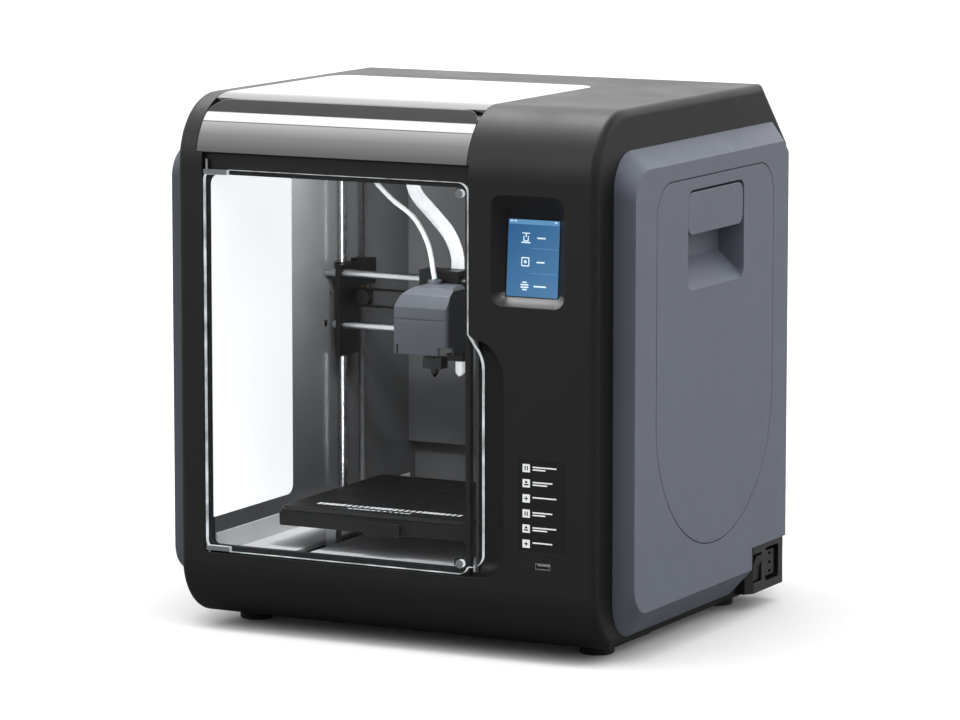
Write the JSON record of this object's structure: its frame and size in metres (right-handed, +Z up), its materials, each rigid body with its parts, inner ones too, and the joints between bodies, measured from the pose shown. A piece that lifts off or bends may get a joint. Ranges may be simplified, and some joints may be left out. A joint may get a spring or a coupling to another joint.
{
  "type": "enclosed 3d printer",
  "caption": "Enclosed desktop filament printer: black housing with clear front door, grey side panels, touch screen, X-Z gantry with print head and a sliding heated bed.",
  "frame": {"origin": "centre of the footprint, level with the undersides of the feet", "axes": "+X to the right seen from the front, +Y to the back, +Z up"},
  "size_m": [0.388, 0.34, 0.405],
  "materials": {
    "shell_black": "fine grained black",
    "panel_grey": "satin blue-grey",
    "gloss_black": "polished black",
    "liner_grey": "smooth dark grey",
    "floor_grey": "light grey",
    "clear_acrylic": "clear, polished edges",
    "opal_acrylic": "opal white",
    "display": "lit display behind glass",
    "label_film": "dark film with white symbols",
    "steel": "bare steel",
    "rod_chrome": "ground and plated",
    "brass": "turned",
    "fins": "turned",
    "rubber": "matt",
    "belt": "ribbed",
    "motor_case": "black",
    "psu_case": "bare sheet",
    "board": "solder mask",
    "black_plastic": "satin black",
    "head_grey": "satin grey",
    "tube_white": "translucent white",
    "ribbon_white": "soft white",
    "bed_black": "black",
    "plate_black": "fine textured black",
    "white_plastic": "white"
  },
  "bodies": {
    "chassis": {"main_shell": "shell_black", "base_pan": "motor_case", "feet": "rubber", "chamber_liner": "liner_grey", "chamber_floor": "floor_grey", "side_window": "opal_acrylic", "left_panel": "panel_grey", "right_panel": "panel_grey", "rear_cover": "shell_black", "front_fascia": "gloss_black", "touch_screen": "display", "icon_label": "label_film", "usb_port": "steel", "power_inlet": "black_plastic", "inlet_pins": "brass", "power_supply": "psu_case", "main_board": "board", "stepper_motors": "motor_case", "z_rods": "rod_chrome", "y_rods": "rod_chrome", "y_belt": "belt", "spool_spindle": "black_plastic", "feeder_body": "black_plastic", "fixed_tube": "tube_white", "shell_screws": "steel", "hinge_pins": "steel"},
    "door": {"door_pane": "clear_acrylic", "door_fittings": "black_plastic"},
    "lid": {"top_lid": "gloss_black"},
    "bay_cover": {"filament_cover": "panel_grey"},
    "cover_catch": {"cover_latch": "panel_grey"},
    "gantry": {"gantry_blocks": "black_plastic", "x_rods": "rod_chrome", "z_nuts": "brass", "x_motor": "motor_case", "x_belt": "belt", "feed_tube_upper": "tube_white", "ribbon_upper": "ribbon_white"},
    "left_screw": {"z_screw_left": "steel"},
    "right_screw": {"z_screw_right": "steel"},
    "x_drive_wheel": {"x_pulley": "fins"},
    "x_idle_wheel": {"x_idler": "fins"},
    "print_head": {"head_carriage": "black_plastic", "head_cover": "head_grey", "hot_end": "fins", "nozzle": "brass", "feed_tube_lower": "tube_white", "ribbon_lower": "ribbon_white"},
    "cooling_fan": {"head_fan": "black_plastic"},
    "release_button": {"release_tab": "white_plastic"},
    "bed": {"bed_carriage": "fins", "bed_frame": "bed_black"},
    "plate": {"build_plate": "plate_black"},
    "y_drive_wheel": {"y_pulley": "fins"},
    "y_idle_wheel": {"y_idler": "fins"},
    "feed_wheel": {"feeder_gear": "steel"},
    "feed_lever": {"feeder_arm": "black_plastic"},
    "exhaust_rotor": {"exhaust_fan": "black_plastic"},
    "power_rocker": {"rocker_switch": "black_plastic"}
  },
  "joints": [
    {"name": "door_hinge", "type": "hinge", "parent": "chassis", "child": "door", "pos_m": [-0.15, -0.168, 0.206], "axis": [0, 0, -1], "range_deg": [0, 105]},
    {"name": "lid_lift", "type": "slide", "parent": "chassis", "child": "lid", "axis": [0, 0, 1], "range_m": [0, 0.06]},
    {"name": "cover_pull", "type": "slide", "parent": "chassis", "child": "bay_cover", "axis": [1, 0, 0], "range_m": [0, 0.06]},
    {"name": "latch_press", "type": "slide", "parent": "bay_cover", "child": "cover_catch", "axis": [-1, 0, 0], "range_m": [0, 0.002]},
    {"name": "gantry_z", "type": "slide", "parent": "chassis", "child": "gantry", "axis": [0, 0, 1], "range_m": [-0.0885, 0.0605], "deforming": ["feed_tube_upper", "ribbon_upper"]},
    {"name": "left_screw_spin", "type": "hinge", "parent": "chassis", "child": "left_screw", "pos_m": [-0.143, 0.059, 0.2], "axis": [0, 0, 1], "continuous": true},
    {"name": "right_screw_spin", "type": "hinge", "parent": "chassis", "child": "right_screw", "pos_m": [0.061, 0.059, 0.2], "axis": [0, 0, 1], "continuous": true},
    {"name": "head_x", "type": "slide", "parent": "gantry", "child": "print_head", "axis": [1, 0, 0], "range_m": [-0.07, 0.08], "deforming": ["feed_tube_lower", "ribbon_lower"]},
    {"name": "x_drive_spin", "type": "hinge", "parent": "gantry", "child": "x_drive_wheel", "pos_m": [0.033, 0.029, 0.233], "axis": [0, 1, 0], "continuous": true},
    {"name": "x_idle_spin", "type": "hinge", "parent": "gantry", "child": "x_idle_wheel", "pos_m": [-0.125, 0.029, 0.233], "axis": [0, 1, 0], "continuous": true},
    {"name": "cooling_fan_spin", "type": "hinge", "parent": "print_head", "child": "cooling_fan", "pos_m": [-0.046, -0.017, 0.217], "axis": [0, 1, 0], "continuous": true},
    {"name": "release_press", "type": "slide", "parent": "print_head", "child": "release_button", "axis": [-1, 0, 0], "range_m": [0, 0.002]},
    {"name": "bed_y", "type": "slide", "parent": "chassis", "child": "bed", "axis": [0, 1, 0], "range_m": [-0.043, 0.106]},
    {"name": "plate_lift", "type": "slide", "parent": "bed", "child": "plate", "axis": [0, 0, 1], "range_m": [0, 0.01]},
    {"name": "y_drive_spin", "type": "hinge", "parent": "chassis", "child": "y_drive_wheel", "pos_m": [-0.041, 0.129, 0.0335], "axis": [1, 0, 0], "continuous": true},
    {"name": "y_idle_spin", "type": "hinge", "parent": "chassis", "child": "y_idle_wheel", "pos_m": [-0.041, -0.14, 0.0335], "axis": [1, 0, 0], "continuous": true},
    {"name": "feed_wheel_spin", "type": "hinge", "parent": "chassis", "child": "feed_wheel", "pos_m": [0.1196, 0.138, 0.12], "axis": [1, 0, 0], "continuous": true},
    {"name": "feed_lever_swing", "type": "hinge", "parent": "chassis", "child": "feed_lever", "pos_m": [0.1236, 0.12, 0.109], "axis": [1, 0, 0], "range_deg": [0, 8]},
    {"name": "exhaust_spin", "type": "hinge", "parent": "chassis", "child": "exhaust_rotor", "pos_m": [-0.041, 0.159, 0.25], "axis": [0, 1, 0], "continuous": true},
    {"name": "power_rocker_tilt", "type": "hinge", "parent": "chassis", "child": "power_rocker", "pos_m": [0.18, 0.0925, 0.03375], "axis": [0, 1, 0], "range_deg": [0, 14]}
  ],
  "couplings": [
    {"joint": "left_screw_spin", "follows": "gantry_z", "rad_per_m": -785.4},
    {"joint": "right_screw_spin", "follows": "gantry_z", "rad_per_m": -785.4},
    {"joint": "x_drive_spin", "follows": "head_x", "rad_per_m": -156.25},
    {"joint": "x_idle_spin", "follows": "head_x", "rad_per_m": -156.25},
    {"joint": "y_drive_spin", "follows": "bed_y", "rad_per_m": -156.25},
    {"joint": "y_idle_spin", "follows": "bed_y", "rad_per_m": -156.25}
  ]
}
